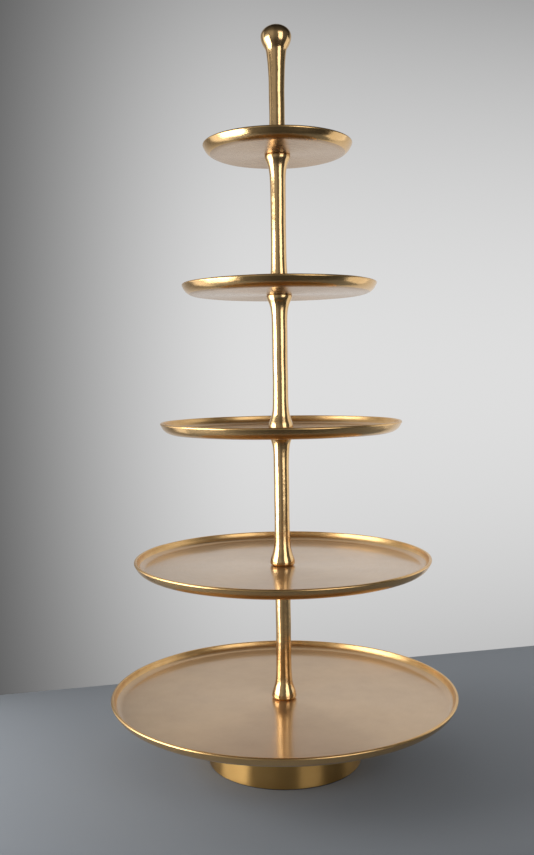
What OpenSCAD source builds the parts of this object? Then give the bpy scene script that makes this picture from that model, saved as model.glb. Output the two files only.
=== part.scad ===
// Five-tier cake stand of cast aluminium with a gold finish.
//
// A drum foot carries five round trays, one above another, and four turned rods keep them apart.
// Each rod stands on a tray. The stud in its foot runs down through the tray into the tapped head
// of the rod below, so screwing the rod in clamps that tray. The lowest stud goes into the foot,
// and the grip at the top is a fifth rod that ends in a ball.
//
// Z is up, the origin is on the axis at the level that the foot stands on, and sizes are in mm.

/* [Trays] */
// Outside diameter of the lowest and largest tray
tray_1_d = 500; // [440:1:560]
// Outside diameter of the second tray from the bottom
tray_2_d = 427; // [370:1:480]
// Outside diameter of the middle tray
tray_3_d = 345; // [300:1:400]
// Outside diameter of the fourth tray
tray_4_d = 277; // [230:1:330]
// Outside diameter of the top tray
tray_5_d = 211; // [170:1:260]
// Height of a tray from its flat underside to the top of its lip
tray_h = 16; // [14:0.5:26]
// Thickness of a tray's flat floor
tray_floor = 3; // [2:0.1:5]
// Width of the lip, from the rim to its inner edge
lip_w = 4.2; // [4:0.1:8]
// Rounding of the lip's outer edge
lip_round_out = 2; // [1:0.1:2.4]
// Rounding of the lip's inner edge
lip_round_in = 1.5; // [1:0.1:2.4]
// How far the outside of a tray's side leans out from upright, in degrees
side_lean = 28; // [16:1:40]
// How far the inside of a tray's side leans out from upright, in degrees
inside_lean = 12; // [4:1:28]
// Radius of the bend between a tray's side and its underside
side_bend = 18; // [10:0.5:22]
// Radius of the hollow between a tray's floor and its side
floor_fillet = 12; // [4:0.5:14]

/* [Rods] */
// Length of a rod between two trays
rod_l = 193; // [140:0.5:260]
// Diameter of the plain shank of a rod and of the grip
shank_d = 22; // [18:0.1:26]
// Diameter of a rod's foot and of its head, where trays are clamped
rod_end_d = 36.5; // [32:0.1:44]
// Height above the tray at which a foot begins to narrow
foot_band = 10.5; // [7:0.1:16]
// Distance below the tray above at which a head begins to narrow
head_band = 6; // [4:0.1:12]
// Length over which the narrowing below a head fades by two thirds
head_fade = 9; // [6:0.1:12]
// Length over which the narrowing above a foot fades by two thirds
foot_fade = 9.5; // [6:0.1:12]
// Sharpness of the shoulder of a head
head_shoulder = 6; // [3:0.5:10]
// Sharpness of the shoulder of a foot
foot_shoulder = 3; // [2:0.5:8]
// Rounding under the edge of a foot
foot_round = 4; // [1:0.1:4.5]
// Rounding over the edge of a head
head_round = 1.2; // [0.5:0.1:3]

/* [Grip] */
// Length of the grip from the top tray's floor to the top of its ball
grip_l = 177; // [150:1:220]
// Diameter of the ball
ball_d = 43; // [36:0.5:52]
// Height of the ball's flattened top above its widest place
ball_rise = 16; // [12:0.5:24]
// Depth that the ball would reach below its widest place, if it weren't joined to the neck
ball_drop = 22; // [17:0.5:28]
// How much wider than the shank the neck is under the ball, on each side
neck_swell = 5; // [3:0.1:6]
// Length over which the neck's taper fades by two thirds
neck_fade = 20; // [10:0.5:24]
// Distance below the ball's widest place at which the neck's taper begins
neck_start = 12; // [8:0.5:16]

/* [Threads and washers] */
// Nominal diameter of the studs and of the tapped holes
thread_d = 10; // [8:1:12]
// Distance a stud moves along in one turn
thread_pitch = 1.5; // [1:0.25:2]
// Number of turns of thread that hold a rod
thread_turns = 8; // [6:1:10]
// Play between a stud and a tapped hole, on each side
thread_play = 0.05; // [0.02:0.01:0.1]
// Depth to which a stud is fixed into the rod that carries it
stud_hold = 25; // [16:1:34]
// Gap filled by thread lock between a stud and its own rod, on each side
stud_bond = 0.02; // [0.01:0.01:0.05]
// Bevel at both ends of a stud
stud_bevel = 1.5; // [0.5:0.1:2]
// Spare depth of a drilled hole beyond the end of a stud
drill_spare = 2; // [1:0.5:4]
// Play of a stud in a tray's centre hole, on each side
tray_hole_play = 0.5; // [0.3:0.1:1]
// Outside diameter of the soft washer let into each foot
washer_d = 22; // [18:0.5:24]
// Thickness of the soft washer
washer_t = 1.5; // [1:0.1:2.5]
// Gap around the soft washer, at the stud and in its recess
washer_gap = 0.3; // [0.2:0.1:0.6]

/* [Foot] */
// Diameter of the drum foot
foot_d = 222; // [180:1:280]
// Height of the lowest tray's underside above the table
foot_h = 86; // [60:0.5:130]
// Thickness of the drum's wall
foot_wall = 6; // [5:0.5:9]
// Thickness of the drum's top
foot_top = 6; // [4:0.5:10]
// Radius of the inside corner between the drum's wall and its top
foot_fillet = 8; // [2:0.5:14]
// Rounding of the drum's outer edges
foot_edge = 1; // [0.5:0.1:1.2]
// Diameter of the tapped boss under the drum's top
boss_d = 44; // [30:1:60]
// Width of the rubber ring that the drum stands on
ring_w = 3; // [2:0.1:3.2]
// Height of the rubber ring
ring_h = 3; // [2.5:0.1:5]
// How far the ring stands out below the drum
ring_proud = 1; // [0.5:0.1:1.5]
// Gap between the ring and the sides of its groove
ring_gap = 0.1; // [0.05:0.05:0.3]

/* [Hidden] */
$fn = 96;

tray_ds = [tray_1_d, tray_2_d, tray_3_d, tray_4_d, tray_5_d];
tray_pitch = rod_l + tray_floor;
shank_r = shank_d / 2;
end_r = rod_end_d / 2;
thread_r = thread_d / 2;
stud_r = thread_r - thread_play;
// Thread in hold, then the bevelled tip that turns free of it
stud_reach = thread_turns * thread_pitch + stud_bevel;
tap_depth = stud_reach + drill_spare;
tray_hole_r = stud_r + tray_hole_play;
ball_z = grip_l - ball_rise;
drum_h = foot_h - ring_proud;
ring_mid_r = foot_d / 2 - foot_wall / 2;

// Points on an outline's bend, and along each flare and neck
bend_steps = 8;
flare_steps = 16;
// Distance from the end of a rod at which its flare has faded out
flare_reach = 52;
// Points up the neck and the ball, and how far below the ball they begin
neck_steps = 36;
neck_reach = 72;
// Firmness with which the ball runs into its neck
neck_blend = 12;
// Overlap that lets a cut pass a face cleanly
cut = 1;

gold = [0.80, 0.64, 0.40];
brushed_gold = [0.72, 0.62, 0.48];
drum_gold = [0.66, 0.52, 0.32];
steel = [0.62, 0.63, 0.65];
nylon = [0.90, 0.89, 0.85];
rubber = [0.10, 0.10, 0.10];

// Height of a tray's underside, counted from 1 at the bottom
function tray_z(i) = foot_h + (i - 1) * tray_pitch;

// Height of a tray's floor, which the rod above it stands on
function floor_z(i) = tray_z(i) + tray_floor;

// Points on an arc from angle a to angle b
function arc(centre, radius, a, b) = [
    for (i = [0:bend_steps])
        let (t = a + (b - a) * i / bend_steps)
            centre + radius * [cos(t), sin(t)]
];

// Share of a flare that is left at a distance from the rod's end
function flare(s, band, fade, shoulder) =
    pow(1 + exp(shoulder * (s - band) / fade), -1 / shoulder);

// Points up a flare, closer together at its wide end
function flare_points(start, band, fade, shoulder) = [
    for (i = [0:flare_steps])
        let (s = start + (flare_reach - start) * pow(i / flare_steps, 1.4))
            [shank_r + (end_r - shank_r) * flare(s, band, fade, shoulder), s]
];

// Outline of a rod's foot, upwards from its face
function foot_outline() =
    let (points = flare_points(foot_round, foot_band, foot_fade, foot_shoulder))
        concat(arc(points[0] - [foot_round, 0], foot_round, -90, 0), points);

// Outline of a rod's head, downwards from its face at the given height
function head_outline(top) =
    let (points = flare_points(head_round, head_band, head_fade, head_shoulder),
         rim = concat(arc(points[0] - [head_round, 0], head_round, -90, 0), points))
        [for (p = rim) [p[0], top - p[1]]];

// Points of a list in the opposite order
function reversed(points) = [for (i = [len(points) - 1:-1:0]) points[i]];

// Radius of the ball and its neck at a distance below the ball's widest place
function ball_r(s) =
    let (ball = ball_d / 2 * sqrt(max(0, 1 - pow(s / ball_drop, 2))),
         neck = shank_r + neck_swell * exp(-max(0, s - neck_start) / neck_fade))
        pow(pow(ball, neck_blend) + pow(neck, neck_blend), 1 / neck_blend);

// Centre of the bend below a lip, at a height, so that a straight side that leans joins the two.
// The run is how far apart the two centres are, square to the side.
function below_lip(lip, run, height, lean) =
    [lip[0] - (run + (lip[1] - height) * sin(lean)) / cos(lean), height];

// Section of a tray: flat floor, leaning side and rounded lip
module tray_section(r) {
    lip_out = [r - lip_round_out, tray_h - lip_round_out];
    lip_in = [r - lip_w + lip_round_in, tray_h - lip_round_in];
    bend = below_lip(lip_out, side_bend - lip_round_out, side_bend, side_lean);
    fillet = below_lip(lip_in, floor_fillet + lip_round_in, tray_floor + floor_fillet, inside_lean);
    polygon(concat(
        [[tray_hole_r, 0]],
        arc(bend, side_bend, -90, -side_lean),
        arc(lip_out, lip_round_out, -side_lean, 90),
        arc(lip_in, lip_round_in, 90, 180 - inside_lean),
        arc(fillet, floor_fillet, -inside_lean, -90),
        [[tray_hole_r, tray_floor]]
    ));
}

// Washer recess and stud hole in the face of a foot
module foot_holes() {
    translate([0, 0, -cut])
        cylinder(r = washer_d / 2 + washer_gap, h = washer_t + cut);
    cylinder(r = stud_r + stud_bond, h = stud_hold + drill_spare);
}

// Round tray, brushed flat on both sides
module tray(i) {
    color(brushed_gold)
        translate([0, 0, tray_z(i)])
            rotate_extrude()
                tray_section(tray_ds[i - 1] / 2);
}

// Rod that stands on tray i and carries the next one
module rod(i) {
    color(gold)
        translate([0, 0, floor_z(i)])
            difference() {
                rotate_extrude()
                    polygon(concat([[0, 0]], foot_outline(), reversed(head_outline(rod_l)), [[0, rod_l]]));
                foot_holes();
                translate([0, 0, rod_l - tap_depth])
                    cylinder(r = thread_r, h = tap_depth + cut);
            }
}

// Grip on the top tray, a rod that ends in a ball
module grip() {
    below = [for (i = [neck_steps:-1:0]) let (s = neck_reach * i / neck_steps) [ball_r(s), ball_z - s]];
    above = [
        for (t = [90 / bend_steps:90 / bend_steps:90])
            [ball_r(0) * cos(t), ball_z + ball_rise * sin(t)]
    ];
    color(gold)
        translate([0, 0, floor_z(5)])
            difference() {
                rotate_extrude()
                    polygon(concat([[0, 0]], foot_outline(), below, above));
                foot_holes();
            }
}

// Threaded stud fixed in the foot that stands on tray i
module stud(i) {
    stud_l = stud_hold + tray_floor + stud_reach;
    color(steel)
        translate([0, 0, floor_z(i) - tray_floor - stud_reach])
            rotate_extrude()
                polygon([
                    [0, 0],
                    [stud_r - stud_bevel, 0],
                    [stud_r, stud_bevel],
                    [stud_r, stud_l - stud_bevel],
                    [stud_r - stud_bevel, stud_l],
                    [0, stud_l]
                ]);
}

// Soft washer let into the foot that stands on tray i
module washer(i) {
    color(nylon)
        translate([0, 0, floor_z(i)])
            difference() {
                cylinder(d = washer_d, h = washer_t);
                translate([0, 0, -cut])
                    cylinder(r = stud_r + washer_gap, h = washer_t + 2 * cut);
            }
}

// Ring-shaped bar around the drum's wall, from z to z + h
module wall_ring(w, z, h) {
    translate([0, 0, z])
        difference() {
            cylinder(r = ring_mid_r + w / 2, h = h);
            translate([0, 0, -cut])
                cylinder(r = ring_mid_r - w / 2, h = h + 2 * cut);
        }
}

// Hollow drum, open below, with the tapped boss that the lowest rod screws into
module foot() {
    r = foot_d / 2;
    edge = foot_edge;
    inner_r = r - foot_wall;
    ceiling = drum_h - foot_top;
    boss_z = drum_h - tap_depth;
    color(drum_gold)
        translate([0, 0, ring_proud])
            difference() {
                rotate_extrude()
                    polygon(concat(
                        [[thread_r, boss_z], [boss_d / 2, boss_z], [boss_d / 2, ceiling]],
                        arc([inner_r - foot_fillet, ceiling - foot_fillet], foot_fillet, 90, 0),
                        [[inner_r, 0]],
                        arc([r - edge, edge], edge, -90, 0),
                        arc([r - edge, drum_h - edge], edge, 0, 90),
                        [[thread_r, drum_h]]
                    ));
                wall_ring(ring_w + 2 * ring_gap, -cut, ring_h - ring_proud + cut);
            }
}

// Rubber ring in the drum's lower edge
module foot_ring() {
    color(rubber)
        wall_ring(ring_w, 0, ring_h);
}

foot();
foot_ring();
tray(1);  // tray_1
tray(2);  // tray_2
tray(3);  // tray_3
tray(4);  // tray_4
tray(5);  // tray_5
washer(1);  // washer_1
washer(2);  // washer_2
washer(3);  // washer_3
washer(4);  // washer_4
washer(5);  // washer_5
rod(1);  // rod_1
rod(2);  // rod_2
rod(3);  // rod_3
rod(4);  // rod_4
grip();
stud(1);  // stud_1
stud(2);  // stud_2
stud(3);  // stud_3
stud(4);  // stud_4
stud(5);  // stud_5
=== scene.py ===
"""Tiered cake stand of cast aluminium with a gold tint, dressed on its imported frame.

Every part of the stand is round, so each one is a section turned about the stand's axis. A section
is drawn in millimetres from the part's own base, and its heights and widths come from the frame.
"""

from __future__ import annotations

import logging
import math
from dataclasses import dataclass
from enum import Enum

import bmesh
import bpy
from mathutils import Matrix, Vector, noise

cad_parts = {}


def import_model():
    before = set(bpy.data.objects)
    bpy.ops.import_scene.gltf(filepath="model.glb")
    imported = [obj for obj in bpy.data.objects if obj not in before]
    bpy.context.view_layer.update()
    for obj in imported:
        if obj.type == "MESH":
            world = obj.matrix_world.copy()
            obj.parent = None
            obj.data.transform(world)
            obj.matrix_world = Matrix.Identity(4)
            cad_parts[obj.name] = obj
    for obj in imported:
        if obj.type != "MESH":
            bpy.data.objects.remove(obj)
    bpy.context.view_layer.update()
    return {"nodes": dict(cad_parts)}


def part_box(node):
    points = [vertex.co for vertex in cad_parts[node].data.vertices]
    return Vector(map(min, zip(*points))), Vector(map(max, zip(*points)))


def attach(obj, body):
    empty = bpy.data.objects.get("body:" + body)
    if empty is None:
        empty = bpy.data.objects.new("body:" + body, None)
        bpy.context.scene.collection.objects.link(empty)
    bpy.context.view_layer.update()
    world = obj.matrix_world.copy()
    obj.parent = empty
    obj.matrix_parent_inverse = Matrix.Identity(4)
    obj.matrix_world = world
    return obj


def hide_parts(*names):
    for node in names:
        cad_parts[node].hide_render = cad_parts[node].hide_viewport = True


LOG = logging.getLogger("cake_stand")

MM = 0.001
TIERS = 5

Point = tuple[float, float]

# Points of a section that are nearer to each other than this, in millimetres, count as one
TOUCHING_MM = 1e-6
# Straight stretches that stand for an arc
ARC_STEPS = 10
# Edges that bend by more than this stay sharp, in degrees
SHARP_EDGE = 35.0
# Most of a noise lies between these two values
NOISE_LOW, NOISE_HIGH = 0.3, 0.7
# Detail of each noise: how many finer ones are added to it, and how strong they are
MARK_NOISE = {"Scale": 1.0, "Detail": 3.0, "Roughness": 0.6}
CLOUD_NOISE = {"Detail": 3.0, "Roughness": 0.55}
HOLLOW_NOISE = {"Detail": 2.0, "Roughness": 0.55}
GRAIN_NOISE = {"Detail": 4.0, "Roughness": 0.6}
# Share of a full turn that lies between along the marks and across them
ACROSS_THE_MARKS = 0.25
# Steps between the seeds of neighbouring trays and of neighbouring rods
TRAY_SEED, ROD_SEED = 3.1, 7.3
# Blender seeds its vector noise from the clock unless it is told a seed, which must not be 0
NOISE_SEED = 11


# ---------------------------------------------------------------- colour and shader nodes


def linear(hex_code: str) -> tuple[float, float, float, float]:
    """Turn an sRGB colour into the linear one that a shader takes.

    Args:
        hex_code: The colour as "#rrggbb".

    Returns:
        Red, green, blue and an alpha of 1, all linear.
    """
    parts = [int(hex_code[i : i + 2], 16) / 255 for i in (1, 3, 5)]
    lin = [c / 12.92 if c <= 0.04045 else ((c + 0.055) / 1.055) ** 2.4 for c in parts]
    return (lin[0], lin[1], lin[2], 1.0)


def add_node(
    tree: bpy.types.NodeTree,
    kind: str,
    settings: dict | None = None,
    links: dict | None = None,
) -> bpy.types.Node:
    """Add a shader node with its settings and its links.

    Args:
        tree: The node tree that gets the node.
        kind: The node's type without the "ShaderNode" in front.
        settings: Values by the name of an attribute, or by the name or number of an input.
        links: Output sockets by the name or number of the input that each one feeds.

    Returns:
        The new node.
    """
    node = tree.nodes.new("ShaderNode" + kind)
    for key, value in (settings or {}).items():
        if isinstance(key, str) and hasattr(node, key):
            setattr(node, key, value)
    for key, value in (settings or {}).items():
        if isinstance(key, int) or not hasattr(node, key):
            node.inputs[key].default_value = value
    for key, socket in (links or {}).items():
        tree.links.new(socket, node.inputs[key])
    return node


def new_material(name: str) -> tuple[bpy.types.Material, bpy.types.NodeTree]:
    """Make an empty node material.

    Args:
        name: The material's name.

    Returns:
        The material and its node tree.
    """
    material = bpy.data.materials.new(name)
    material.use_nodes = True
    material.node_tree.nodes.clear()
    return material, material.node_tree


def per_mm(size: float) -> float:
    """Give the texture scale at which one period is that many millimetres long."""
    return 1 / (size * MM)


def marks(
    tree: bpy.types.NodeTree, place: bpy.types.NodeSocket, fine_mm: float, turns: float
) -> bpy.types.NodeSocket:
    """Draw a noise out round the stand's axis, like the marks of a brush on a turntable.

    Args:
        tree: The node tree.
        place: The object coordinates.
        fine_mm: Width of a mark, along the section.
        turns: How many marks follow one another in one radian.

    Returns:
        The socket with the height of the marks, from 0 to 1.
    """
    flat = add_node(tree, "VectorMath", {"operation": "MULTIPLY", 1: (1, 1, 0)}, {0: place})
    radius = add_node(tree, "VectorMath", {"operation": "LENGTH"}, {0: flat.outputs[0]}).outputs["Value"]
    height = add_node(tree, "SeparateXYZ", links={0: place}).outputs["Z"]
    along = add_node(tree, "Math", {"operation": "ADD"}, {0: radius, 1: height})
    along = add_node(tree, "Math", {"operation": "MULTIPLY", 1: per_mm(fine_mm)}, {0: along.outputs[0]})
    around = add_node(tree, "VectorMath", {"operation": "NORMALIZE"}, {0: flat.outputs[0]})
    around = add_node(tree, "VectorMath", {"operation": "SCALE", "Scale": turns}, {0: around.outputs[0]})
    along = add_node(tree, "CombineXYZ", links={"Z": along.outputs[0]})
    key = add_node(tree, "VectorMath", {"operation": "ADD"}, {0: around.outputs[0], 1: along.outputs[0]})
    return add_node(tree, "TexNoise", MARK_NOISE, {"Vector": key.outputs[0]}).outputs["Fac"]


# ---------------------------------------------------------------- finishes


@dataclass(frozen=True)
class RingedMetal:
    """Aluminium tinted gold and worked while it turns, so that its marks run round the stand.

    Every mark throws light across itself, so a lamp or a rod mirrors as a streak that crosses the
    marks. How long the streak is follows the anisotropy, and how clear its edges are follows the
    roughness.
    """

    name: str
    tint: str
    dull_tint: str
    roughness: float
    anisotropy: float
    # Real marks are about 0.2 mm apart, too fine to show, so they are drawn wider
    mark_mm: float
    mark_depth_mm: float
    mark_turns: float
    # Unevenness of the casting that the work left under the marks
    hollow_mm: float
    hollow_depth_mm: float
    # Patches where the tint took more or less
    cloud_mm: float
    # Clear lacquer over the metal, which mirrors what stands on it sharply and without colour
    lacquer: float = 0.0
    lacquer_roughness: float = 0.12
    # Under 1 where haze in the lacquer scatters a little light
    metallic: float = 1.0
    # How far the marks change the roughness, up and down
    spread: float = 0.03

    def build(self) -> bpy.types.Material:
        """Make the node material.

        Returns:
            The material.
        """
        material, tree = new_material(self.name)
        place = add_node(tree, "TexCoord").outputs["Object"]
        lines = marks(tree, place, self.mark_mm, self.mark_turns)
        clouds = add_node(
            tree, "TexNoise", {"Scale": per_mm(self.cloud_mm), **CLOUD_NOISE}, {"Vector": place}
        )
        hollows = add_node(
            tree, "TexNoise", {"Scale": per_mm(self.hollow_mm), **HOLLOW_NOISE}, {"Vector": place}
        )
        tint = add_node(
            tree,
            "Mix",
            {"data_type": "RGBA", 6: linear(self.tint), 7: linear(self.dull_tint)},
            {0: clouds.outputs["Fac"]},
        )
        rough = add_node(
            tree,
            "MapRange",
            {
                "From Min": NOISE_LOW,
                "From Max": NOISE_HIGH,
                "To Min": self.roughness - self.spread,
                "To Max": self.roughness + self.spread,
            },
            {"Value": lines},
        )
        cast = add_node(
            tree,
            "Bump",
            {"Strength": 1.0, "Distance": self.hollow_depth_mm * MM},
            {"Height": hollows.outputs["Fac"]},
        )
        worked = add_node(
            tree,
            "Bump",
            {"Strength": 1.0, "Distance": self.mark_depth_mm * MM},
            {"Height": lines, "Normal": cast.outputs["Normal"]},
        )
        tangent = add_node(tree, "Tangent", {"direction_type": "RADIAL", "axis": "Z"})
        shader = add_node(
            tree,
            "BsdfPrincipled",
            {
                "Metallic": self.metallic,
                "Anisotropic": self.anisotropy,
                "Anisotropic Rotation": ACROSS_THE_MARKS,
                "Coat Weight": self.lacquer,
                "Coat Roughness": self.lacquer_roughness,
            },
            {
                "Base Color": tint.outputs[2],
                "Roughness": rough.outputs[0],
                "Normal": worked.outputs["Normal"],
                "Tangent": tangent.outputs[0],
            },
        )
        add_node(tree, "OutputMaterial", links={"Surface": shader.outputs[0]})
        return material


# Floors of the trays, brushed in rings on a turntable and lacquered, which mirror a rod as a streak
BRUSHED = RingedMetal(
    name="brushed_gold_aluminium",
    tint="#D5B182",
    dull_tint="#C29E71",
    roughness=0.32,
    anisotropy=0.66,
    mark_mm=1.6,
    mark_depth_mm=0.011,
    mark_turns=6.0,
    hollow_mm=12.0,
    hollow_depth_mm=0.044,
    cloud_mm=36.0,
    lacquer=0.75,
    metallic=0.80,
)
# Undersides of the trays, sanded flat after casting and left without lacquer, so they look patchy
SANDED = RingedMetal(
    name="sanded_gold_aluminium",
    tint="#CFB495",
    dull_tint="#B89C80",
    roughness=0.27,
    anisotropy=0.70,
    mark_mm=4.0,
    mark_depth_mm=0.030,
    mark_turns=2.5,
    hollow_mm=12.0,
    hollow_depth_mm=0.080,
    cloud_mm=14.0,
)
# Outer sides of the trays, polished on a mop while the tray turned, which leaves short faint marks
SATIN = RingedMetal(
    name="satin_gold_aluminium",
    tint="#EBC58E",
    dull_tint="#DDB378",
    roughness=0.20,
    anisotropy=0.55,
    mark_mm=1.8,
    mark_depth_mm=0.070,
    mark_turns=40.0,
    hollow_mm=14.0,
    hollow_depth_mm=0.120,
    cloud_mm=30.0,
)
# Lips and inner walls of the trays, scoured with a coarse wheel, whose short marks sparkle dully
SCOURED = RingedMetal(
    name="scoured_gold_aluminium",
    tint="#EBC48A",
    dull_tint="#D0A468",
    roughness=0.33,
    anisotropy=0.45,
    mark_mm=2.2,
    mark_depth_mm=0.160,
    mark_turns=70.0,
    hollow_mm=7.0,
    hollow_depth_mm=0.080,
    cloud_mm=16.0,
)
# Rods and grip, polished by hand, which leaves the casting a little uneven
POLISHED = RingedMetal(
    name="polished_gold_aluminium",
    tint="#EECA94",
    dull_tint="#E0B67C",
    roughness=0.17,
    anisotropy=0.65,
    mark_mm=1.4,
    mark_depth_mm=0.020,
    mark_turns=1.6,
    hollow_mm=9.0,
    hollow_depth_mm=0.260,
    cloud_mm=20.0,
)
# Drum, turned on a lathe, whose lines spread each light up and down the wall. Its tint, darker and more
# orange than the rods', is partly its own gold and partly painted shade, standing in for the shaded floor
# that it mirrors
TURNED = RingedMetal(
    name="turned_gold_aluminium",
    tint="#D9B06E",
    dull_tint="#C99D5B",
    roughness=0.33,
    anisotropy=0.94,
    mark_mm=1.2,
    mark_depth_mm=0.004,
    mark_turns=9.0,
    hollow_mm=40.0,
    hollow_depth_mm=0.060,
    cloud_mm=45.0,
)


@dataclass(frozen=True)
class PlainFinish:
    """A small part's finish: one colour with the fine unevenness of how it was made."""

    name: str
    tint: str
    dull_tint: str
    metallic: float
    roughness: float
    # The real grain is too fine to show, so it is drawn coarser
    grain_mm: float
    grain_depth_mm: float
    # How far the grain changes the roughness, up and down
    spread: float = 0.06

    def build(self) -> bpy.types.Material:
        """Make the node material.

        Returns:
            The material.
        """
        material, tree = new_material(self.name)
        place = add_node(tree, "TexCoord").outputs["Object"]
        grain = add_node(
            tree, "TexNoise", {"Scale": per_mm(self.grain_mm), **GRAIN_NOISE}, {"Vector": place}
        ).outputs["Fac"]
        tint = add_node(
            tree, "Mix", {"data_type": "RGBA", 6: linear(self.tint), 7: linear(self.dull_tint)}, {0: grain}
        )
        rough = add_node(
            tree,
            "MapRange",
            {
                "From Min": NOISE_LOW,
                "From Max": NOISE_HIGH,
                "To Min": self.roughness - self.spread,
                "To Max": self.roughness + self.spread,
            },
            {"Value": grain},
        )
        grained = add_node(
            tree, "Bump", {"Strength": 1.0, "Distance": self.grain_depth_mm * MM}, {"Height": grain}
        )
        shader = add_node(
            tree,
            "BsdfPrincipled",
            {"Metallic": self.metallic},
            {
                "Base Color": tint.outputs[2],
                "Roughness": rough.outputs[0],
                "Normal": grained.outputs["Normal"],
            },
        )
        add_node(tree, "OutputMaterial", links={"Surface": shader.outputs[0]})
        return material


# Studs, rolled from steel and zinc plated, which gives an even bluish grey
ZINC_STEEL = PlainFinish(
    name="zinc_plated_steel",
    tint="#C9CCD0",
    dull_tint="#B4B8BE",
    metallic=1.0,
    roughness=0.28,
    grain_mm=0.8,
    grain_depth_mm=0.004,
)
# Washers, punched from natural nylon sheet, which is creamy and shines softly
NYLON = PlainFinish(
    name="natural_nylon",
    tint="#E9E6DC",
    dull_tint="#DEDACD",
    metallic=0.0,
    roughness=0.45,
    grain_mm=1.2,
    grain_depth_mm=0.006,
)
# Ring under the drum, moulded from black rubber, which is dull and finely grained
RUBBER = PlainFinish(
    name="moulded_rubber",
    tint="#1B1B1B",
    dull_tint="#242423",
    metallic=0.0,
    roughness=0.70,
    grain_mm=0.7,
    grain_depth_mm=0.010,
)


# ---------------------------------------------------------------- turned shapes


class Band(Enum):
    """Which finish a stretch of a section takes. The value is the material's place on the mesh.

    The rods, the grip and the drum have the main finish alone. A tray's main finish is its floor's.
    """

    MAIN = 0
    SIDE = 1
    UNDERSIDE = 2
    INSIDE = 3


@dataclass
class Section:
    """A closed outline in millimetres, radius first, and the finish of each stretch."""

    points: list[Point]
    bands: list[Band]

    @classmethod
    def start(cls, point: Point) -> "Section":
        """Begin an outline at a point."""
        return cls([point], [])

    def to(self, point: Point, band: Band = Band.MAIN) -> "Section":
        """Go straight to a point, unless the outline is there already.

        Args:
            point: Where to go.
            band: The finish on the way.

        Returns:
            The same outline, longer.
        """
        if math.dist(self.points[-1], point) > TOUCHING_MM:
            self.points.append(point)
            self.bands.append(band)
        return self

    def along(self, points: list[Point], band: Band = Band.MAIN) -> "Section":
        """Go through every point of a list.

        Args:
            points: Where to go, in order.
            band: The finish on the way.

        Returns:
            The same outline, longer.
        """
        for point in points:
            self.to(point, band)
        return self

    def arc(
        self, centre: Point, radius: float, a: float, b: float, band: Band = Band.MAIN
    ) -> "Section":
        """Go round an arc.

        Args:
            centre: The arc's centre.
            radius: The arc's radius.
            a: The angle at which it begins, in degrees from straight outwards.
            b: The angle at which it ends.
            band: The finish on the way.

        Returns:
            The same outline, longer.
        """
        for i in range(ARC_STEPS + 1):
            t = math.radians(a + (b - a) * i / ARC_STEPS)
            self.to((centre[0] + radius * math.cos(t), centre[1] + radius * math.sin(t)), band)
        return self


@dataclass(frozen=True)
class HandWork:
    """How far a casting finished by hand strays from true, and over what length."""

    stray_mm: float
    length_mm: float
    seed: float
    # How far a seed moves the noise along Y for each step along X, so that no two seeds match
    seed_slope: float = 1.7

    def offset(self, place: Vector) -> Vector:
        """Give the stray of a point of the surface.

        Args:
            place: The point, in metres.

        Returns:
            How far it moves, in metres.
        """
        key = place / (self.length_mm * MM) + Vector((self.seed, self.seed * self.seed_slope, 0))
        return noise.noise_vector(key) * self.stray_mm * MM


def to_piece(
    mesh: bmesh.types.BMesh,
    name: str,
    materials: list[bpy.types.Material],
    sharp_edge: float | None = None,
) -> bpy.types.Object:
    """Make an object of a finished mesh.

    Args:
        mesh: The mesh, which is used up.
        name: The object's name.
        materials: Its materials, in the order that its faces number them.
        sharp_edge: Bend over which an edge stays sharp, in degrees, for a piece that is smooth.

    Returns:
        The new object, in the scene.
    """
    data = bpy.data.meshes.new(name)
    mesh.to_mesh(data)
    mesh.free()
    if sharp_edge is not None:
        data.set_sharp_from_angle(angle=math.radians(sharp_edge))
    for material in materials:
        data.materials.append(material)
    piece = bpy.data.objects.new(name, data)
    bpy.context.scene.collection.objects.link(piece)
    return piece


def turn(
    name: str,
    section: Section,
    base: float,
    materials: list[bpy.types.Material],
    sides: int,
    work: HandWork,
) -> bpy.types.Object:
    """Turn a section about the stand's axis into a closed mesh.

    Args:
        name: The object's name.
        section: The outline, from the part's base.
        base: Height of the part's base, in metres.
        materials: One for each band that the section uses.
        sides: Number of flat sides round the axis.
        work: How uneven the surface is.

    Returns:
        The new object, in the scene.
    """
    mesh = bmesh.new()
    rings: list[list[bmesh.types.BMVert]] = []
    # A section that starts off the axis has a hole, whose wall closes it
    closed = section.points[0][0] > TOUCHING_MM
    for r, z in section.points:
        count = sides if r > TOUCHING_MM else 1
        ring = []
        for k in range(count):
            t = 2 * math.pi * k / sides
            place = Vector((r * MM * math.cos(t), r * MM * math.sin(t), z * MM + base))
            ring.append(mesh.verts.new(place + work.offset(place)))
        rings.append(ring)
    pairs = list(zip(rings, rings[1:], section.bands))
    if closed:
        pairs.append((rings[-1], rings[0], Band.MAIN))
    for low, high, band in pairs:
        for k in range(sides):
            n = (k + 1) % sides
            corners = [low[k % len(low)], low[n % len(low)], high[n % len(high)], high[k % len(high)]]
            face = mesh.faces.new(list(dict.fromkeys(corners)))
            face.material_index = band.value
            face.smooth = True
    bmesh.ops.recalc_face_normals(mesh, faces=mesh.faces)
    return to_piece(mesh, name, materials, SHARP_EDGE)


def install(piece: bpy.types.Object, node: str, body: str) -> None:
    """Put a finished piece in the place of its CAD node.

    Args:
        piece: The dressed piece.
        node: The CAD node that it stands for.
        body: The CAD body that carries it.
    """
    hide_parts(node)
    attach(piece, body)
    LOG.info("%s on %s", piece.name, body)


def cover(piece: bpy.types.Object, material: bpy.types.Material) -> None:
    """Finish a CAD piece that keeps its own mesh.

    Args:
        piece: The CAD piece.
        material: Its finish.
    """
    piece.data.materials.clear()
    piece.data.materials.append(material)
    LOG.info("%s in %s", piece.name, material.name)


# ---------------------------------------------------------------- the stand's parts


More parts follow.
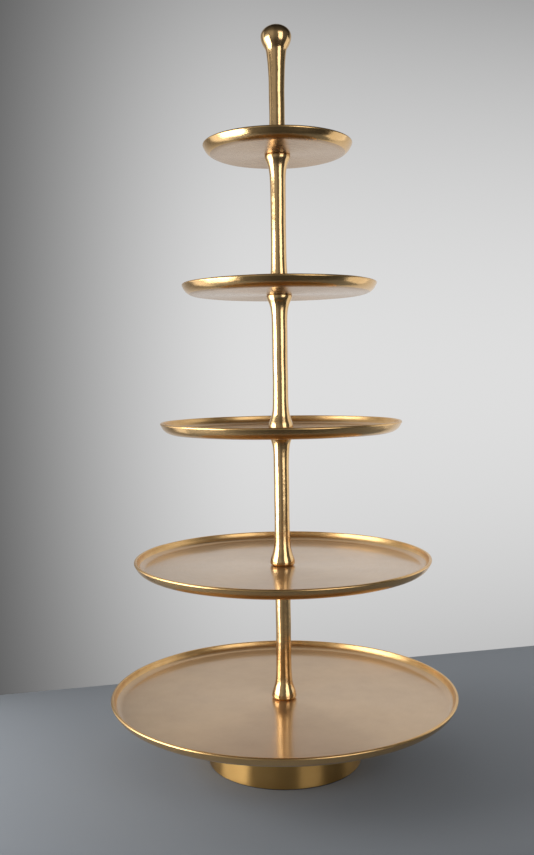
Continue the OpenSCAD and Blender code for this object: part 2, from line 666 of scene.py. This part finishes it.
@dataclass(frozen=True)
class Workshop:
    """The finishes, made once and shared by the parts."""

    brushed: bpy.types.Material
    satin: bpy.types.Material
    sanded: bpy.types.Material
    scoured: bpy.types.Material
    polished: bpy.types.Material
    turned: bpy.types.Material
    steel: bpy.types.Material
    nylon: bpy.types.Material
    rubber: bpy.types.Material

    @classmethod
    def open(cls) -> "Workshop":
        """Make every finish.

        Returns:
            The finishes.
        """
        return cls(
            brushed=BRUSHED.build(),
            satin=SATIN.build(),
            sanded=SANDED.build(),
            scoured=SCOURED.build(),
            polished=POLISHED.build(),
            turned=TURNED.build(),
            steel=ZINC_STEEL.build(),
            nylon=NYLON.build(),
            rubber=RUBBER.build(),
        )


@dataclass
class Tray:
    """A round tray: brushed floor, scoured inner wall and lip, satin outer side, sanded underside."""

    number: int
    shop: Workshop
    hole_r: float = 5.45
    lip_w: float = 4.2
    lip_round_out: float = 2.0
    lip_round_in: float = 1.5
    side_lean: float = 28.0
    inside_lean: float = 12.0
    side_bend: float = 18.0
    floor_fillet: float = 12.0
    # The brush reaches up the fillet to this slope, in degrees from upright
    brushed_from: float = 40.0
    # The scouring wheel runs over the lip from this slope
    scoured_from: float = -8.0
    # The sander rounds the edge of the underside up to this slope
    sanded_to: float = 64.0
    # The casting's rim and floor waver by about this much, and over about this length
    stray: float = 0.25
    stray_length: float = 55.0
    # Stretches of the flat floor and of the flat underside, and sides round the axis
    flat_steps: int = 14
    sides: int = 320

    @property
    def node(self) -> str:
        """Name of the tray's CAD node."""
        return f"tray_{self.number}"

    @property
    def body(self) -> str:
        """Name of the body that carries the tray."""
        return "base" if self.number == 1 else f"rod_{self.number - 1}_body"

    @staticmethod
    def below_lip(lip: Point, run: float, height: float, lean: float) -> Point:
        """Find the centre of the bend below a lip, so that a straight side joins the two.

        Args:
            lip: Centre of the lip's rounding.
            run: How far apart the two centres are, square to the side.
            height: Height of the bend's centre.
            lean: How far the side leans out from upright, in degrees.

        Returns:
            The centre of the bend.
        """
        t = math.radians(lean)
        return (lip[0] - (run + (lip[1] - height) * math.sin(t)) / math.cos(t), height)

    def section(self, r: float, h: float, floor: float) -> Section:
        """Draw the tray's section.

        Args:
            r: Radius of the rim.
            h: Height of the lip above the underside.
            floor: Thickness of the floor.

        Returns:
            The outline, from the hole's lower edge round to its upper edge.
        """
        lip_out = (r - self.lip_round_out, h - self.lip_round_out)
        lip_in = (r - self.lip_w + self.lip_round_in, h - self.lip_round_in)
        bend = self.below_lip(lip_out, self.side_bend - self.lip_round_out, self.side_bend, self.side_lean)
        fillet = self.below_lip(
            lip_in, self.floor_fillet + self.lip_round_in, floor + self.floor_fillet, self.inside_lean
        )
        steps = self.flat_steps
        out = Section.start((self.hole_r, 0))
        under = [(self.hole_r + (bend[0] - self.hole_r) * i / steps, 0) for i in range(1, steps + 1)]
        out.along(under, Band.UNDERSIDE)
        out.arc(bend, self.side_bend, -90, -self.sanded_to, Band.UNDERSIDE)
        out.arc(bend, self.side_bend, -self.sanded_to, -self.side_lean, Band.SIDE)
        out.arc(lip_out, self.lip_round_out, -self.side_lean, self.scoured_from, Band.SIDE)
        out.arc(lip_out, self.lip_round_out, self.scoured_from, 90, Band.INSIDE)
        out.arc(lip_in, self.lip_round_in, 90, 180 - self.inside_lean, Band.INSIDE)
        out.arc(fillet, self.floor_fillet, -self.inside_lean, -self.brushed_from, Band.INSIDE)
        out.arc(fillet, self.floor_fillet, -self.brushed_from, -90)
        out.along([(fillet[0] + (self.hole_r - fillet[0]) * i / steps, floor) for i in range(1, steps + 1)])
        return out

    def build(self) -> None:
        """Make the tray and put it in place of its node."""
        low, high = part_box(self.node)
        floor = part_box(f"washer_{self.number}")[0].z - low.z
        section = self.section(high.x / MM, (high.z - low.z) / MM, floor / MM)
        piece = turn(
            f"dressed_{self.node}",
            section,
            low.z,
            [self.shop.brushed, self.shop.satin, self.shop.sanded, self.shop.scoured],
            sides=self.sides,
            work=HandWork(self.stray, self.stray_length, self.number * TRAY_SEED),
        )
        install(piece, self.node, self.body)


@dataclass
class Rod:
    """A turned rod with a flared foot and head, a washer recess below and a tapped hole above.

    Each flare holds the end's radius as far as its band, turns in at its shoulder and then fades
    to the shank.
    """

    node: str
    body: str
    washer: str
    seed: float
    shop: Workshop
    shank_r: float = 11.0
    end_r: float = 18.25
    foot_band: float = 10.5
    head_band: float = 6.0
    foot_fade: float = 9.5
    head_fade: float = 9.0
    foot_shoulder: float = 3.0
    head_shoulder: float = 6.0
    foot_round: float = 4.0
    head_round: float = 1.2
    flare_reach: float = 52.0
    flare_steps: int = 30
    # Over 1 crowds the steps towards the end, where the flare bends most
    flare_crowding: float = 1.4
    shank_steps: int = 24
    recess_gap: float = 0.3
    stud_r: float = 4.97
    stud_depth: float = 27.0
    tap_r: float = 5.0
    tap_depth: float = 15.5
    # The hand polish leaves it uneven by about this much, over about this length
    stray: float = 0.30
    stray_length: float = 30.0
    sides: int = 96

    def flare(self, start: float, band: float, fade: float, shoulder: float) -> list[Point]:
        """Draw a flare from an end of the rod inwards.

        Args:
            start: Distance from the end at which to begin.
            band: Distance at which the flare begins to narrow.
            fade: Length over which it fades by two thirds.
            shoulder: Sharpness of its shoulder.

        Returns:
            Radius and distance from the end, in millimetres.
        """
        points = []
        for i in range(self.flare_steps + 1):
            s = start + (self.flare_reach - start) * (i / self.flare_steps) ** self.flare_crowding
            share = (1 + math.exp(shoulder * (s - band) / fade)) ** (-1 / shoulder)
            points.append((self.shank_r + (self.end_r - self.shank_r) * share, s))
        return points

    def foot(self, washer_t: float, washer_r: float) -> Section:
        """Draw the rod from the bottom of its stud hole out to the top of its foot's flare.

        Args:
            washer_t: Thickness of the washer.
            washer_r: Radius of the washer.

        Returns:
            The outline so far.
        """
        recess_r = washer_r + self.recess_gap
        out = Section.start((0, self.stud_depth))
        out.to((self.stud_r, self.stud_depth)).to((self.stud_r, washer_t))
        out.to((recess_r, washer_t)).to((recess_r, 0))
        points = self.flare(self.foot_round, self.foot_band, self.foot_fade, self.foot_shoulder)
        centre = (points[0][0] - self.foot_round, self.foot_round)
        out.arc(centre, self.foot_round, -90, 0)
        return out.along(points)

    def head(self, out: Section, length: float) -> Section:
        """Go on from the shank up the head's flare and down into the tapped hole.

        Args:
            out: The outline up to the top of the foot's flare.
            length: Length of the rod.

        Returns:
            The whole outline.
        """
        points = self.flare(self.head_round, self.head_band, self.head_fade, self.head_shoulder)
        shank = length - 2 * self.flare_reach
        steps = self.shank_steps
        out.along([(self.shank_r, self.flare_reach + shank * i / steps) for i in range(1, steps)])
        out.along([(r, length - s) for r, s in reversed(points)])
        centre = (points[0][0] - self.head_round, length - self.head_round)
        out.arc(centre, self.head_round, 0, 90)
        out.to((self.tap_r, length)).to((self.tap_r, length - self.tap_depth))
        return out.to((0, length - self.tap_depth))

    def build(self) -> None:
        """Make the rod and put it in place of its node."""
        low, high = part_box(self.node)
        washer_low, washer_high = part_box(self.washer)
        foot = self.foot((washer_high.z - washer_low.z) / MM, washer_high.x / MM)
        section = self.head(foot, (high.z - low.z) / MM)
        piece = turn(
            f"dressed_{self.node}",
            section,
            low.z,
            [self.shop.polished],
            sides=self.sides,
            work=HandWork(self.stray, self.stray_length, self.seed),
        )
        install(piece, self.node, self.body)


@dataclass
class Grip(Rod):
    """The top rod, which ends in a slightly flattened ball on a tapered neck."""

    ball_r: float = 21.5
    ball_rise: float = 16.0
    ball_drop: float = 22.0
    neck_swell: float = 5.0
    neck_fade: float = 20.0
    neck_start: float = 12.0
    # How sharply the neck runs into the ball: high is sharp
    neck_blend: float = 12.0
    neck_steps: int = 60
    crown_steps: int = 24

    def radius(self, s: float) -> float:
        """Give the radius of the ball and its neck.

        Args:
            s: Distance below the ball's widest place.

        Returns:
            The larger of the two radii there, blended where they meet.
        """
        ball = self.ball_r * math.sqrt(max(0.0, 1 - (s / self.ball_drop) ** 2))
        neck = self.shank_r + self.neck_swell * math.exp(-max(0.0, s - self.neck_start) / self.neck_fade)
        return (ball**self.neck_blend + neck**self.neck_blend) ** (1 / self.neck_blend)

    def head(self, out: Section, length: float) -> Section:
        """Go on from the shank up the neck and over the ball.

        Args:
            out: The outline up to the top of the foot's flare.
            length: Length of the grip.

        Returns:
            The whole outline.
        """
        middle = length - self.ball_rise
        reach = middle - self.flare_reach
        left = [reach * (1 - i / self.neck_steps) for i in range(1, self.neck_steps + 1)]
        out.along([(self.radius(s), middle - s) for s in left])
        over = self.crown_steps
        for i in range(1, over + 1):
            t = math.pi / 2 * i / over
            out.to((self.radius(0) * math.cos(t) if i < over else 0, middle + self.ball_rise * math.sin(t)))
        return out


@dataclass
class Stud:
    """A threaded steel stud that stands out of a rod's foot."""

    number: int
    body: str
    shop: Workshop
    pitch: float = 1.5
    thread_depth: float = 0.8
    # Over 1 leaves the crest of the thread flat, as on a rolled thread
    groove_slope: float = 1.25
    bevel: float = 1.5
    rows_per_turn: int = 10
    sides: int = 36
    sharp_edge: float = 40.0

    @property
    def node(self) -> str:
        """Name of the stud's CAD node."""
        return f"stud_{self.number}"

    def build(self) -> None:
        """Cut the thread round the stud and put it in place of its node."""
        low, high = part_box(self.node)
        r, length = high.x / MM, (high.z - low.z) / MM
        rows = int(length / self.pitch * self.rows_per_turn)
        mesh = bmesh.new()
        rings = []
        for j in range(rows + 1):
            z = length * j / rows
            limit = r - max(0.0, self.bevel - z, self.bevel - (length - z))
            ring = []
            for k in range(self.sides):
                t = 2 * math.pi * k / self.sides
                phase = (z / self.pitch - k / self.sides) % 1.0
                groove = self.thread_depth * max(0.0, 1 - abs(2 * phase - 1) * self.groove_slope)
                cut_r = min(limit, r - groove) * MM
                ring.append(mesh.verts.new((cut_r * math.cos(t), cut_r * math.sin(t), z * MM + low.z)))
            rings.append(ring)
        for a, b in zip(rings, rings[1:]):
            for k in range(self.sides):
                n = (k + 1) % self.sides
                mesh.faces.new([a[k], a[n], b[n], b[k]]).smooth = True
        mesh.faces.new(list(reversed(rings[0])))
        mesh.faces.new(rings[-1])
        piece = to_piece(mesh, f"threaded_{self.node}", [self.shop.steel], self.sharp_edge)
        install(piece, self.node, self.body)


@dataclass
class DrumFoot:
    """The drum that carries the stand, hollow and open below, with a tapped boss inside."""

    shop: Workshop
    wall: float = 6.0
    top: float = 6.0
    fillet: float = 8.0
    edge: float = 1.0
    boss_r: float = 22.0
    tap_r: float = 5.0
    tap_depth: float = 15.5
    groove_w: float = 3.2
    # A turned drum is nearly true
    stray: float = 0.15
    stray_length: float = 60.0
    seed: float = 8.0
    wall_steps: int = 12
    sides: int = 256

    def section(self, r: float, h: float, groove_h: float) -> Section:
        """Draw the drum's section.

        Args:
            r: Radius of the drum.
            h: Height of the drum.
            groove_h: Depth of the groove in its lower edge.

        Returns:
            The outline, from the boss's lower end round to the top of the tapped hole.
        """
        inner = r - self.wall
        ceiling = h - self.top
        middle = r - self.wall / 2
        steps = self.wall_steps
        out = Section.start((self.tap_r, h - self.tap_depth))
        out.to((self.boss_r, h - self.tap_depth)).to((self.boss_r, ceiling))
        out.arc((inner - self.fillet, ceiling - self.fillet), self.fillet, 90, 0)
        out.to((inner, 0))
        out.to((middle - self.groove_w / 2, 0)).to((middle - self.groove_w / 2, groove_h))
        out.to((middle + self.groove_w / 2, groove_h)).to((middle + self.groove_w / 2, 0))
        out.arc((r - self.edge, self.edge), self.edge, -90, 0)
        out.along([(r, self.edge + (h - 2 * self.edge) * i / steps) for i in range(1, steps)])
        out.arc((r - self.edge, h - self.edge), self.edge, 0, 90)
        return out.to((self.tap_r, h))

    def build(self) -> None:
        """Make the drum and put it in place of its node."""
        low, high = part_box("foot")
        groove_h = (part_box("foot_ring")[1].z - low.z) / MM
        section = self.section(high.x / MM, (high.z - low.z) / MM, groove_h)
        work = HandWork(self.stray, self.stray_length, self.seed)
        piece = turn("dressed_foot", section, low.z, [self.shop.turned], sides=self.sides, work=work)
        install(piece, "foot", "base")


# ---------------------------------------------------------------- studio


@dataclass(frozen=True)
class Lamp:
    """A soft panel of light, placed round the stand.

    The azimuth is in degrees, 0 on the camera's side of the stand, and grows to the camera's right.
    The lengths are in metres.
    """

    name: str
    azimuth: float
    distance: float
    height: float
    width: float
    tall: float
    radiance: float
    aim: float

    def place(self) -> None:
        """Put the lamp in the scene, facing the stand's axis at the aimed height."""
        light = bpy.data.lights.new(self.name, "AREA")
        light.shape = "RECTANGLE"
        light.size = self.width
        light.size_y = self.tall
        light.energy = self.radiance * math.pi * self.width * self.tall
        lamp = bpy.data.objects.new(self.name, light)
        a = math.radians(self.azimuth)
        lamp.location = (self.distance * math.sin(a), -self.distance * math.cos(a), self.height)
        facing = Vector((0, 0, self.aim)) - lamp.location
        lamp.rotation_euler = facing.to_track_quat("-Z", "Y").to_euler()
        lamp.visible_camera = False
        bpy.context.scene.collection.objects.link(lamp)


@dataclass(frozen=True)
class Wall:
    """A pale wall close behind the stand that glows by itself, with a painted pool of light such as a spot
    lamp would throw on it.

    Only its front shines. From behind it is clear, so it hides nothing there.
    """

    distance: float = 0.41
    # Turn of the wall, in degrees: its right end stands farther back
    turn: float = 14.0
    half_width: float = 2.2
    tall: float = 1.9
    # How much light the pool adds, and how much the wall gives without it
    level: float = 0.68
    rest: float = 0.05
    # Where the pool starts on the left and is full, and where it weakens and ends on the right
    left: tuple[float, float] = (-0.68, -0.02)
    right: tuple[float, float] = (0.55, 1.60)
    # Where the painted daylight, as from a window in its left end, begins, is full, weakens and ends
    daylight: tuple[float, float, float, float] = (-0.52, -0.64, -0.85, -1.10)
    # Strength of that daylight, where the pool has 1
    daylight_level: float = 1.8
    # Height of the pool's middle, and how far above and below it the light has gone
    middle: float = 0.55
    reach: float = 1.02
    # How soon the wall is solid where its light begins: high is soon
    edge_gain: float = 12.0

    @staticmethod
    def swell(
        tree: bpy.types.NodeTree,
        along: bpy.types.NodeSocket,
        rise: tuple[float, float],
        fall: tuple[float, float],
        level: float,
    ) -> bpy.types.NodeSocket:
        """Draw a light that swells softly along the wall and dies away again.

        Args:
            tree: The node tree.
            along: The place along the wall.
            rise: Where the light begins and where it is full.
            fall: Where it weakens and where it ends.
            level: How strong it is when it is full.

        Returns:
            The socket with the strength of the light.
        """
        grown, left_over = (
            add_node(
                tree,
                "MapRange",
                {
                    "interpolation_type": "SMOOTHSTEP",
                    "From Min": start,
                    "From Max": end,
                    "To Min": low,
                    "To Max": high,
                },
                {"Value": along},
            )
            for (start, end), (low, high) in ((rise, (0.0, level)), (fall, (1.0, 0.0)))
        )
        both = add_node(
            tree, "Math", {"operation": "MULTIPLY"}, {0: grown.outputs[0], 1: left_over.outputs[0]}
        )
        return both.outputs[0]

    def finish(self) -> bpy.types.Material:
        """Make the wall's glowing material: the painted pool of light and the painted daylight, which fade
        with height.

        Returns:
            The material.
        """
        material, tree = new_material("glowing_wall_painted_light")
        axes = add_node(tree, "SeparateXYZ", links={0: add_node(tree, "TexCoord").outputs["Object"]})
        pool = self.swell(tree, axes.outputs["X"], self.left, self.right, 1.0)
        day = self.swell(tree, axes.outputs["X"], self.daylight[:2], self.daylight[2:], self.daylight_level)
        both = add_node(tree, "Math", {"operation": "ADD"}, {0: pool, 1: day})
        off = add_node(
            tree,
            "Math",
            {"operation": "MULTIPLY_ADD", 1: 1 / self.reach, 2: -self.middle / self.reach},
            {0: axes.outputs["Z"]},
        )
        square = add_node(tree, "Math", {"operation": "MULTIPLY"}, {0: off.outputs[0], 1: off.outputs[0]})
        height = add_node(
            tree, "Math", {"operation": "SUBTRACT", "use_clamp": True, 0: 1.0}, {1: square.outputs[0]}
        )
        light = add_node(tree, "Math", {"operation": "MULTIPLY"}, {0: both.outputs[0], 1: height.outputs[0]})
        level = add_node(
            tree, "Math", {"operation": "MULTIPLY_ADD", 1: self.level, 2: self.rest}, {0: light.outputs[0]}
        )
        # The wall glows: its pool of light and its daylight are painted into its emission, not thrown by a
        # lamp
        shine = add_node(tree, "Emission", {"Color": linear("#FFFFFF")}, {"Strength": level.outputs[0]})
        solid = add_node(
            tree,
            "Math",
            {"operation": "MULTIPLY", "use_clamp": True, 1: self.edge_gain},
            {0: light.outputs[0]},
        )
        back = add_node(tree, "NewGeometry").outputs["Backfacing"]
        front = add_node(tree, "Math", {"operation": "SUBTRACT", 0: 1.0}, {1: back})
        shown = add_node(tree, "Math", {"operation": "MULTIPLY"}, {0: solid.outputs[0], 1: front.outputs[0]})
        clear = add_node(tree, "BsdfTransparent")
        mixed = add_node(
            tree, "MixShader", links={0: shown.outputs[0], 1: clear.outputs[0], 2: shine.outputs[0]}
        )
        add_node(tree, "OutputMaterial", links={"Surface": mixed.outputs[0]})
        return material

    def build(self) -> None:
        """Stand the wall behind the object."""
        mesh = bmesh.new()
        w = self.half_width
        corners = [(-w, 0, 0), (w, 0, 0), (w, 0, self.tall), (-w, 0, self.tall)]
        mesh.faces.new([mesh.verts.new(c) for c in corners])
        piece = to_piece(mesh, "wall", [self.finish()])
        piece.location = (0, self.distance, 0)
        piece.rotation_euler = (0, 0, math.radians(self.turn))


@dataclass(frozen=True)
class Studio:
    """A grey table top, a glowing wall with painted light behind it, a dim room round them, the lamps and
    the camera.
    """

    floor_tint: str = "#94999F"
    floor_r: float = 2.2
    floor_sides: int = 128
    # The top is wider than it is deep, and stands nearer the wall than the camera
    floor_squeeze: float = 0.45
    floor_shift: float = 0.20
    # Where its edge begins to fade out, and where it is gone
    fade_from: float = 0.47
    fade_to: float = 0.66
    # The room's light ahead of the stand at the horizon, well below it and overhead
    room_level: float = 0.40
    room_below: float = 0.15
    room_above: float = 0.18
    # Share of that light that comes from the middle and right, and from beside and behind the stand
    room_right: float = 0.45
    room_behind: float = 0.22
    # Between which two values of a direction's Y, Z, Z and X each of these changes
    behind_span: tuple[float, float] = (-0.9, 0.3)
    below_span: tuple[float, float] = (-0.50, -0.08)
    above_span: tuple[float, float] = (0.35, 0.75)
    right_span: tuple[float, float] = (-0.45, -0.10)
    # The camera, in metres, and its lens and film
    camera_at: tuple[float, float, float] = (-0.020, -1.350, 0.5638)
    lens_mm: float = 39.6
    film_mm: float = 36.0
    nearest: float = 0.05
    # How far the camera is tipped down and turned about its own axis, in degrees
    tip: float = 3.35
    roll: float = 0.78
    wall: Wall = Wall()
    lamps: tuple[Lamp, ...] = (
        Lamp(
            name="window_left",
            azimuth=-80,
            distance=1.2,
            height=0.33,
            width=1.20,
            tall=1.30,
            radiance=5.5,
            aim=0.33,
        ),
        Lamp(
            name="panel_right",
            azimuth=35,
            distance=2.1,
            height=0.95,
            width=1.20,
            tall=1.60,
            radiance=2.2,
            aim=0.8,
        ),
        Lamp(
            name="card_right",
            azimuth=106,
            distance=1.0,
            height=0.54,
            width=0.62,
            tall=1.10,
            radiance=0.9,
            aim=0.54,
        ),
    )

    def surroundings(self) -> None:
        """Make the world: a dim room, darkest below the horizon and lightest ahead of the stand."""
        world = bpy.data.worlds.new("studio")
        bpy.context.scene.world = world
        world.use_nodes = True
        tree = world.node_tree
        tree.nodes.clear()
        axes = add_node(tree, "SeparateXYZ", links={0: add_node(tree, "TexCoord").outputs["Generated"]})
        spans = (
            ("Z", self.below_span, self.room_below / self.room_level, 1.0),
            ("Z", self.above_span, self.room_level, self.room_above),
            ("Y", self.behind_span, 1.0, self.room_behind),
            ("X", self.right_span, 1.0, self.room_right),
        )
        shares = [
            add_node(
                tree,
                "MapRange",
                {"From Min": start, "From Max": end, "To Min": first, "To Max": last},
                {"Value": axes.outputs[axis]},
            )
            for axis, (start, end), first, last in spans
        ]
        room = shares[0]
        for share in shares[1:]:
            room = add_node(
                tree, "Math", {"operation": "MULTIPLY"}, {0: room.outputs[0], 1: share.outputs[0]}
            )
        shade = add_node(tree, "Background", {"Color": linear("#FFFFFF")}, {"Strength": room.outputs[0]})
        add_node(tree, "OutputWorld", links={"Surface": shade.outputs[0]})

    def floor_finish(self) -> bpy.types.Material:
        """Make the floor's material, which is matt and fades out towards the edge.

        Returns:
            The material.
        """
        material, tree = new_material("pale_floor")
        place = add_node(tree, "TexCoord").outputs["Object"]
        moved = add_node(
            tree, "VectorMath", {"operation": "SUBTRACT", 1: (0, self.floor_shift, 0)}, {0: place}
        )
        moved = add_node(
            tree,
            "VectorMath",
            {"operation": "MULTIPLY", 1: (self.floor_squeeze, 1, 0)},
            {0: moved.outputs[0]},
        )
        far = add_node(tree, "VectorMath", {"operation": "LENGTH"}, {0: moved.outputs[0]})
        fade = add_node(
            tree,
            "MapRange",
            {"interpolation_type": "SMOOTHSTEP", "From Min": self.fade_from, "From Max": self.fade_to},
            {"Value": far.outputs["Value"]},
        )
        solid = add_node(tree, "BsdfDiffuse", {"Color": linear(self.floor_tint)})
        clear = add_node(tree, "BsdfTransparent")
        mixed = add_node(
            tree, "MixShader", links={0: fade.outputs[0], 1: solid.outputs[0], 2: clear.outputs[0]}
        )
        add_node(tree, "OutputMaterial", links={"Surface": mixed.outputs[0]})
        return material

    def floor(self) -> None:
        """Lay the grey floor, whose edge fades into the surroundings."""
        mesh = bmesh.new()
        bmesh.ops.create_circle(mesh, cap_ends=True, segments=self.floor_sides, radius=self.floor_r)
        to_piece(mesh, "floor", [self.floor_finish()])

    def camera(self) -> None:
        """Stand the camera in front, between the heights of trays 3 and 4, tipped down a little."""
        data = bpy.data.cameras.new("camera")
        data.lens = self.lens_mm
        data.sensor_width = self.film_mm
        data.clip_start = self.nearest
        eye = bpy.data.objects.new("camera", data)
        eye.matrix_world = (
            Matrix.Translation(self.camera_at)
            @ Matrix.Rotation(math.pi / 2 - math.radians(self.tip), 4, "X")
            @ Matrix.Rotation(-math.radians(self.roll), 4, "Z")
        )
        bpy.context.scene.collection.objects.link(eye)
        bpy.context.scene.camera = eye

    def build(self) -> None:
        """Set up the whole studio."""
        self.surroundings()
        self.floor()
        self.wall.build()
        for lamp in self.lamps:
            lamp.place()
        self.camera()
        bpy.context.scene.view_settings.view_transform = "Standard"


def main() -> None:
    """Load the frame, dress every part of the stand and light it."""
    logging.basicConfig(level=logging.INFO, format="%(message)s")
    noise.seed_set(NOISE_SEED)
    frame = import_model()
    shop = Workshop.open()
    DrumFoot(shop).build()
    for i in range(1, TIERS + 1):
        Tray(i, shop).build()
        body = f"rod_{i}_body" if i < TIERS else "grip_body"
        if i < TIERS:
            Rod(f"rod_{i}", body, f"washer_{i}", i * ROD_SEED, shop).build()
        else:
            Grip("grip", body, f"washer_{i}", i * ROD_SEED, shop).build()
        Stud(i, body, shop).build()
        cover(frame["nodes"][f"washer_{i}"], shop.nylon)
    cover(frame["nodes"]["foot_ring"], shop.rubber)
    Studio().build()


if __name__ == "__main__":
    main()
